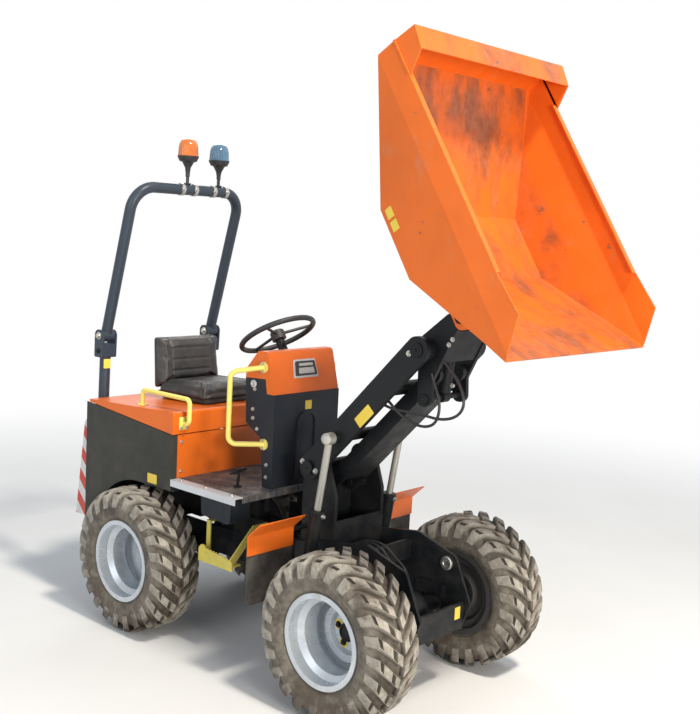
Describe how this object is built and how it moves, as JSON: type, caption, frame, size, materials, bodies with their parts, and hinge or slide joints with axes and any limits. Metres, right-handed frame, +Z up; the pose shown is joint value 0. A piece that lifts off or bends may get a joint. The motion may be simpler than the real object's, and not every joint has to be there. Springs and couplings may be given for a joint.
{
  "type": "site_dumper",
  "caption": "Compact articulated site dumper with a high-lift, front-tipping skip, folding roll bar, beacons and open driver's seat",
  "frame": {"origin": "Middle of the footprint, on the ground under the tyres", "axes": "+X towards the skip (forward), +Y to the driver's left, +Z up"},
  "size_m": [2.8967, 1.243, 2.9489],
  "materials": {
    "tyre": "matt",
    "rim_silver": "satin",
    "frame_black": "satin",
    "panel_grey": "satin",
    "arm_grey": "satin",
    "orange": "satin",
    "rops_blue_grey": "satin",
    "yellow": "satin",
    "step_yellow": "satin",
    "step_grey": "satin",
    "dark_plastic": "matt",
    "black_plastic": "matt",
    "amber_lens": "gloss",
    "blue_lens": "gloss",
    "seat_vinyl": "satin",
    "flap_rubber": "matt",
    "chrome": "polished"
  },
  "bodies": {
    "machine": {"rear_chassis": "frame_black", "rear_axle": "frame_black", "engine_block": "frame_black", "tank": "dark_plastic", "battery_box": "dark_plastic", "side_panel_left": "panel_grey", "side_panel_right": "panel_grey", "counterweight": "panel_grey", "hood_hinges": "frame_black", "rear_panel": "panel_grey", "front_panel": "orange", "floor_plate": "panel_grey", "floor_edges": "step_grey", "console_body": "panel_grey", "console_cover": "orange", "steering_wheel": "black_plastic", "steering_column": "frame_black", "grab_handles": "yellow", "side_steps": "step_yellow", "pedal": "black_plastic", "rops_posts": "rops_blue_grey"},
    "front_frame": {"front_chassis": "frame_black", "lift_tower": "frame_black", "front_axle": "frame_black", "mudguards": "orange", "guard_brackets": "frame_black", "mud_flaps": "flap_rubber"},
    "wheel_front_right": {"tyre_front_right": "tyre", "rim_front_right": "rim_silver"},
    "wheel_front_left": {"tyre_front_left": "tyre", "rim_front_left": "rim_silver"},
    "wheel_rear_right": {"tyre_rear_right": "tyre", "rim_rear_right": "rim_silver"},
    "wheel_rear_left": {"tyre_rear_left": "tyre", "rim_rear_left": "rim_silver"},
    "hood": {"engine_hood": "orange", "seat": "seat_vinyl", "hood_handle": "yellow"},
    "rops": {"rops_hoop": "rops_blue_grey", "beacon_amber": "amber_lens", "beacon_blue": "blue_lens"},
    "arms": {"lift_arms": "arm_grey"},
    "link": {"levelling_link": "frame_black"},
    "carrier_head": {"carrier": "frame_black"},
    "skip_body": {"skip": "orange"},
    "lift_ram_barrels": {"lift_barrels": "frame_black"},
    "lift_ram_rods": {"lift_rods": "chrome"},
    "tip_ram_barrel": {"tip_barrel": "frame_black"},
    "tip_ram_rod": {"tip_rod": "chrome"},
    "steer_ram_barrel": {"steer_barrel": "frame_black"},
    "steer_ram_rod": {"steer_rod": "chrome"}
  },
  "joints": [
    {"name": "steer", "type": "hinge", "parent": "machine", "child": "front_frame", "pos_m": [-0.12336, 0, 0.47], "axis": [0, 0, 1], "range_deg": [-30, 30]},
    {"name": "wheel_front_right", "type": "hinge", "parent": "front_frame", "child": "wheel_front_right", "pos_m": [0.59414, -0.4905, 0.38], "axis": [0, 1, 0], "continuous": true},
    {"name": "wheel_front_left", "type": "hinge", "parent": "front_frame", "child": "wheel_front_left", "pos_m": [0.59414, 0.4905, 0.38], "axis": [0, 1, 0], "continuous": true},
    {"name": "wheel_rear_right", "type": "hinge", "parent": "machine", "child": "wheel_rear_right", "pos_m": [-0.84086, -0.4905, 0.38], "axis": [0, 1, 0], "continuous": true},
    {"name": "wheel_rear_left", "type": "hinge", "parent": "machine", "child": "wheel_rear_left", "pos_m": [-0.84086, 0.4905, 0.38], "axis": [0, 1, 0], "continuous": true},
    {"name": "lift", "type": "hinge", "parent": "front_frame", "child": "arms", "pos_m": [0.11564, 0, 1.007], "axis": [0, 1, 0], "range_deg": [0, 60.6]},
    {"name": "link_swing", "type": "hinge", "parent": "front_frame", "child": "link", "pos_m": [0.12564, 0, 0.892], "axis": [0, 1, 0], "range_deg": [0, 60.6]},
    {"name": "carrier_level", "type": "hinge", "parent": "arms", "child": "carrier_head", "pos_m": [0.73042, 0, 1.64362], "axis": [0, 1, 0], "range_deg": [-60.6, 0]},
    {"name": "lift_ram_swing", "type": "hinge", "parent": "front_frame", "child": "lift_ram_barrels", "pos_m": [0.17264, 0, 0.469], "axis": [0, 1, 0], "range_deg": [0, 14]},
    {"name": "lift_ram_slide", "type": "slide", "parent": "lift_ram_barrels", "child": "lift_ram_rods", "axis": [0.1542, 0, 0.988], "range_m": [-0.205, 0]},
    {"name": "tip", "type": "hinge", "parent": "carrier_head", "child": "skip_body", "pos_m": [0.91664, 0, 1.8], "axis": [0, 1, 0], "range_deg": [-57.9, 0]},
    {"name": "tip_ram_swing", "type": "hinge", "parent": "carrier_head", "child": "tip_ram_barrel", "pos_m": [0.72664, 0, 1.42], "axis": [0, 1, 0], "range_deg": [-17.5, 0]},
    {"name": "tip_ram_slide", "type": "slide", "parent": "tip_ram_barrel", "child": "tip_ram_rod", "axis": [0.1144, 0, 0.9934], "range_m": [-0.2, 0]},
    {"name": "steer_ram_swing", "type": "hinge", "parent": "machine", "child": "steer_ram_barrel", "pos_m": [-0.48336, -0.13, 0.47], "axis": [0, 0, 1], "range_deg": [-3.5, 3.5]},
    {"name": "steer_ram_slide", "type": "slide", "parent": "steer_ram_barrel", "child": "steer_ram_rod", "axis": [0.9999, -0.0125, 0], "range_m": [-0.072, 0.072]},
    {"name": "hood_lift", "type": "hinge", "parent": "machine", "child": "hood", "pos_m": [-1.30136, 0, 1.15], "axis": [0, -1, 0], "range_deg": [0, 50]},
    {"name": "rops_fold", "type": "hinge", "parent": "machine", "child": "rops", "pos_m": [-1.32936, 0, 1.5], "axis": [0, -1, 0], "range_deg": [0, 105]}
  ],
  "couplings": [
    {"joint": "link_swing", "follows": "lift", "ratio": 1},
    {"joint": "carrier_level", "follows": "lift", "ratio": -1},
    {"joint": "lift_ram_swing", "follows": "lift", "ratio": 0.2178},
    {"joint": "lift_ram_slide", "follows": "lift", "m_per_rad": -0.1881},
    {"joint": "tip_ram_swing", "follows": "tip", "ratio": 0.2884},
    {"joint": "tip_ram_slide", "follows": "tip", "m_per_rad": 0.1905},
    {"joint": "steer_ram_swing", "follows": "steer", "ratio": 0.0944},
    {"joint": "steer_ram_slide", "follows": "steer", "m_per_rad": 0.1317}
  ]
}
